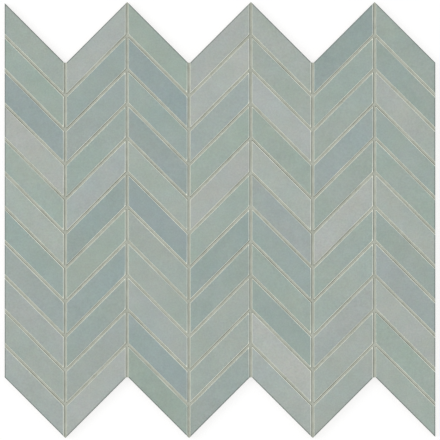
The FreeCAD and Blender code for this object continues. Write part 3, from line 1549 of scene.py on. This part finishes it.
@dataclass
class BackNet:
    """The glass net on the back: twisted pairs up the sheet, flat yarns across it, and glue."""

    sizes: SheetSizes
    yarn: GlassYarn
    glue: DriedGlue
    pitch: float = 6.2 * MM
    trim: float = 1.2 * MM
    yarn_radius: float = 0.11 * MM
    pair_spread: float = 0.2 * MM
    flat_width: float = 0.56 * MM
    flat_share: float = 0.25
    points_a_mesh: int = 4
    glue_radius: float = 1.25 * MM
    glue_share: float = 0.34
    glue_clearance: float = 0.1 * MM
    least_dab: Place = (0.6, 0.6, 0.7)
    largest_dab: Place = (1.3, 1.1, 1.0)
    seed: int = 5

    def build(self) -> list[bpy.types.Object]:
        """Builds the two layers of yarn and the glue.

        Returns:
            The pieces.
        """
        yarn = self.yarn.material()
        long_low, long_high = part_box("net_long_threads")
        cross_low, cross_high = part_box("net_cross_threads")
        long_spans = self._long_spans(long_low.x, long_high.x)
        cross_spans = self._cross_spans(cross_low.y, cross_high.y)
        pairs = self._pairs(long_spans, yarn)
        flats = self._flats(cross_spans, yarn)
        dabs = self._dabs(long_spans)
        hand_in(pairs, "net_long_threads")
        hand_in(flats, "net_cross_threads")
        hand_in(dabs, "")
        return [pairs, flats, dabs]

    @property
    def middle(self) -> float:
        """Level halfway through the net."""
        return self.sizes.back / 2

    @property
    def twist_height(self) -> float:
        """How far a pair's yarns swing up and down from the middle."""
        return self.middle - self.yarn_radius

    def _places(self, low: float, high: float) -> list[float]:
        """Gives the middles of threads at the net's pitch, with one on the sheet's middle."""
        count = int(min(-low, high) / self.pitch)
        return [step * self.pitch for step in range(-count, count + 1)]

    def _top_at(self, x: float) -> float:
        """Finds the height of the net's top edge.

        Args:
            x: Where it is wanted.

        Returns:
            The height.
        """
        sizes = self.sizes
        tops = []
        for column in range(sizes.columns):
            left = sizes.column_left(column)
            tops += list(zip((left, left + sizes.column_width), sizes.end_heights(column)))
        xs, ys = zip(*tops)
        return float(np.interp(x, xs, ys)) - self.trim * sizes.stretch

    def _long_spans(self, low: float, high: float) -> list[Place]:
        """Gives X, lower end and upper end of each long thread."""
        # The sheet's outline is the same after half a turn
        return [(x, -self._top_at(-x), self._top_at(x)) for x in self._places(low, high)]

    def _cross_spans(self, low: float, high: float) -> list[Place]:
        """Finds where cross threads run.

        Args:
            low: Lowest Y that the net reaches.
            high: Highest Y that it reaches.

        Returns:
            Y, left end and right end of each stretch of thread.
        """
        sizes = self.sizes
        side = -sizes.left_side - self.trim
        full = sizes.low_end - self.trim * sizes.stretch
        peak = sizes.high_end - self.trim * sizes.stretch
        spans = []
        for y in self._places(low, high):
            if abs(y) <= full:
                spans.append((y, -side, side))
                continue
            reach = (peak - abs(y)) / sizes.slope
            way = 1 if y > 0 else -1
            for column in range(0, sizes.columns, 2):
                x = way * (sizes.joint_middle(column) if column else sizes.left_side)
                left, right = max(x - reach, -side), min(x + reach, side)
                if right - left > self.flat_width:
                    spans.append((y, left, right))
        return spans

    def _lines(
        self, name: str, ends: list[tuple[Place, Place]], twist: list[float]
    ) -> bpy.types.Object:
        """Makes straight lines for a tree to sweep.

        Args:
            name: The object's name.
            ends: The two ends of each line.
            twist: A number for each line, which its points keep.

        Returns:
            The object with the lines.
        """
        points = np.array([point for pair in ends for point in pair])
        edges = [(2 * k, 2 * k + 1) for k in range(len(ends))]
        mesh = mesh_of(name, points, [], edges)
        keep_numbers(mesh, "twist", np.repeat(twist, 2))
        return new_object(name, mesh)

    def _pairs(self, spans: list[Place], yarn: bpy.types.Material) -> bpy.types.Object:
        """Makes the long threads: two yarns each, which cross over at every cross thread.

        Args:
            spans: X, lower end and upper end of each thread.
            yarn: The yarns' finish.

        Returns:
            The object with all yarns.
        """
        ends, twist = [], []
        for x, low, high in spans:
            for side in (-1.0, 1.0):
                ends.append(((x, low, self.middle), (x, high, self.middle)))
                twist.append(side)
        tree = GrowthTree(
            "twist_pairs",
            {
                "Pitch": ("NodeSocketFloat", self.pitch),
                "Spread": ("NodeSocketFloat", self.pair_spread),
                "Lift": ("NodeSocketFloat", self.twist_height),
                "Yarn Radius": ("NodeSocketFloat", self.yarn_radius),
                "Step": ("NodeSocketFloat", self.pitch / self.points_a_mesh),
                "Finish": ("NodeSocketMaterial", yarn),
            },
        )
        graph = tree.graph
        curve = self._resampled(tree)
        y = graph.parted(graph.add("GeometryNodeInputPosition")["Position"], "Y")
        phase = y / tree.input("Pitch") * math.pi
        stored = graph.add(
            "GeometryNodeInputNamedAttribute", {"data_type": "FLOAT"}, {"Name": "twist"}
        )
        side = stored["Attribute"]
        aside = phase.sine() * tree.input("Spread") * side
        lift = phase.cosine() * tree.input("Lift") * side
        bent = {"Geometry": curve, "Offset": graph.joined(x=aside, z=lift)}
        moved = graph.add("GeometryNodeSetPosition", None, bent)["Geometry"]
        tree.close(self._swept(graph, moved, self._profile(graph, 4, tree.input("Yarn Radius"))))
        return tree.grow(self._lines("long_lines", ends, twist), "long_yarns")

    def _flats(self, spans: list[Place], yarn: bpy.types.Material) -> bpy.types.Object:
        """Makes the cross threads: flat yarns that run between the two of each pair.

        Args:
            spans: Y, left end and right end of each stretch of thread.
            yarn: The yarns' finish.

        Returns:
            The object with all yarns.
        """
        ends = [((left, y, self.middle), (right, y, self.middle)) for y, left, right in spans]
        tree = GrowthTree(
            "lay_flats",
            {
                "Flat Width": ("NodeSocketFloat", self.flat_width),
                "Flat Share": ("NodeSocketFloat", self.flat_share),
                "Step": ("NodeSocketFloat", self.pitch / 2),
                "Finish": ("NodeSocketMaterial", yarn),
            },
        )
        graph = tree.graph
        curve = self._resampled(tree)
        upright = graph.add("GeometryNodeSetCurveNormal", {"mode": "Z_UP"}, {"Curve": curve})["Curve"]
        ring = self._profile(graph, 6, tree.input("Flat Width") / 2)
        squeezed = {"Geometry": ring, "Scale": graph.joined(1.0, tree.input("Flat Share"), 1.0)}
        flat = graph.add("GeometryNodeTransform", None, squeezed)["Geometry"]
        tree.close(self._swept(graph, upright, flat))
        return tree.grow(self._lines("cross_lines", ends, [0.0] * len(ends)), "cross_yarns")

    def _resampled(self, tree: GrowthTree) -> Wire:
        """Turns a tree's lines into curves with evenly spaced points.

        Args:
            tree: The tree, whose input Step is the spacing.

        Returns:
            The curves.
        """
        graph = tree.graph
        lines = graph.add("GeometryNodeMeshToCurve", None, {"Mesh": tree.input("Geometry")})["Curve"]
        sockets = {"Curve": lines, "Length": tree.input("Step")}
        return graph.add("GeometryNodeResampleCurve", {"mode": "LENGTH"}, sockets)["Curve"]

    def _profile(self, graph: Graph, corners: int, radius: Wire) -> Wire:
        """Makes a round profile with a few corners."""
        sockets = {"Resolution": corners, "Radius": radius}
        return graph.add("GeometryNodeCurvePrimitiveCircle", None, sockets)["Curve"]

    def _swept(self, graph: Graph, curve: Wire, profile: Wire) -> Wire:
        """Sweeps a profile along curves and closes its ends.

        Args:
            graph: The tree's graph.
            curve: The curves.
            profile: The closed profile.

        Returns:
            The smooth-shaded mesh.
        """
        sockets = {"Curve": curve, "Profile Curve": profile, "Fill Caps": True}
        mesh = graph.add("GeometryNodeCurveToMesh", None, sockets)["Mesh"]
        return graph.add("GeometryNodeSetShadeSmooth", None, {"Geometry": mesh})["Geometry"]

    def _dabs(self, spans: list[Place]) -> bpy.types.Object:
        """Sets dabs of glue on some of the crossings, between the net and the tiles' backs.

        Args:
            spans: X, lower end and upper end of each long thread.

        Returns:
            The object with all dabs.
        """
        level = self.sizes.back
        crossings = []
        for x, low, high in spans:
            crossings += [(x, y, level) for y in self._places(low, high) if low < y < high]
        mesh = mesh_of("crossings", np.array(crossings), [])
        tree = GrowthTree(
            "set_glue",
            {
                "Dab Radius": ("NodeSocketFloat", self.glue_radius),
                "Share": ("NodeSocketFloat", self.glue_share),
                "Seed": ("NodeSocketInt", self.seed),
                "Finish": ("NodeSocketMaterial", self.glue.material()),
            },
        )
        graph, seed = tree.graph, tree.input("Seed")
        draw = {"Probability": tree.input("Share"), "Seed": seed}
        chosen = graph.add("FunctionNodeRandomValue", {"data_type": "BOOLEAN"}, draw)["Value_003"]
        height = (self.sizes.back - self.glue_clearance) / self.glue_radius
        least, largest = [(x, y, z * height) for x, y, z in (self.least_dab, self.largest_dab)]
        scale = graph.drawn(least, largest, seed + 1)
        turn = graph.turned(graph.drawn((0.0, 0.0, 0.0), (0.0, 0.0, 2 * math.pi), seed + 2))
        ball = {"Radius": tree.input("Dab Radius"), "Segments": 8, "Rings": 4}
        dab = graph.add("GeometryNodeMeshUVSphere", None, ball)["Mesh"]
        copies = {
            "Points": tree.input("Geometry"),
            "Selection": chosen,
            "Instance": dab,
            "Rotation": turn,
            "Scale": scale,
        }
        dabs = graph.add("GeometryNodeInstanceOnPoints", None, copies)["Instances"]
        smooth = graph.add("GeometryNodeSetShadeSmooth", None, {"Geometry": dabs})["Geometry"]
        tree.close(smooth)
        return tree.grow(new_object("crossings", mesh), "net_glue")


@dataclass
class Studio:
    """The plain studio: a white floor, soft lamps, an even sky and the camera."""

    sizes: SheetSizes
    finish: StudioFloor = field(default_factory=StudioFloor)
    floor_half: float = 4.0
    floor_drop: float = 0.02 * MM
    picture_width: float = 440.0
    sheet_width_in_picture: float = 430.75
    lens: float = 200.0
    sensor: float = 36.0
    clip: Span = (0.1, 50.0)
    sky_level: float = 0.58
    key_place: Place = (-3.0, 0.5, 3.2)
    key_side: float = 2.0
    key_power: float = 42.0
    top_place: Place = (0.5, 0.6, 4.0)
    top_side: float = 3.5
    top_power: float = 37.0

    def build(self) -> None:
        """Builds the stage, the lamps and the camera."""
        self._floor()
        self._sky()
        self._lamp("key", self.key_place, self.key_side, self.key_power)
        self._lamp("top", self.top_place, self.top_side, self.top_power)
        self._camera()
        bpy.context.scene.view_settings.view_transform = "Standard"
        log.info("studio: floor, sky, 2 lamps and camera")

    def _floor(self) -> None:
        """Lays the floor just under the sheet."""
        reach, level = self.floor_half, -self.floor_drop
        corners = [(-reach, -reach), (reach, -reach), (reach, reach), (-reach, reach)]
        mesh = mesh_of("floor", np.array([(x, y, level) for x, y in corners]), [(0, 1, 2, 3)])
        mesh.materials.append(self.finish.material())
        new_object("floor", mesh)

    def _sky(self) -> None:
        """Makes the even light from all round, white where it is looked at."""
        world = bpy.data.worlds.new("studio_sky")
        world.use_nodes = True
        bpy.context.scene.world = world
        graph = Graph(world.node_tree)
        lighting, shown = [
            graph.add("ShaderNodeBackground", None, {"Color": WHITE, "Strength": level})["Background"]
            for level in (self.sky_level, 1.0)
        ]
        mixed = graph.mixed_shader(seen_directly(graph), lighting, shown)
        graph.add("ShaderNodeOutputWorld", None, {"Surface": mixed})

    def _lamp(self, name: str, place: Place, size: float, power: float) -> None:
        """Hangs a square soft lamp that points at the sheet's middle.

        Args:
            name: The lamp's name.
            place: Where it hangs.
            size: Its side.
            power: Its power, in watts.
        """
        light = bpy.data.lights.new(name, "AREA")
        light.shape, light.size, light.energy = "SQUARE", size, power
        lamp = bpy.data.objects.new(name, light)
        bpy.context.scene.collection.objects.link(lamp)
        lamp.location = place
        lamp.rotation_euler = (-lamp.location).to_track_quat("-Z", "Y").to_euler()

    def _camera(self) -> None:
        """Hangs the camera straight over the sheet, as high as the picture's scale asks."""
        sheet_width = -2 * self.sizes.left_side
        shown_width = sheet_width * self.picture_width / self.sheet_width_in_picture
        data = bpy.data.cameras.new("camera")
        data.lens, data.sensor_width = self.lens, self.sensor
        data.clip_start, data.clip_end = self.clip
        camera = bpy.data.objects.new("camera", data)
        bpy.context.scene.collection.objects.link(camera)
        camera.location = (0.0, 0.0, self.sizes.face + shown_width * self.lens / self.sensor)
        bpy.context.scene.camera = camera


def main() -> None:
    """Builds the sheet and its studio in order."""
    logging.basicConfig(level=logging.INFO, format="%(name)s: %(message)s")
    sizes = SheetSizes.from_frame()
    Studio(sizes).build()
    TileColumns(sizes, GlazedClay(glaze_line=sizes.face - 1.9 * MM)).build()
    GroutLattice(sizes, SandedGrout()).build()
    BackNet(sizes, GlassYarn(), DriedGlue()).build()


if __name__ == "__main__":
    main()
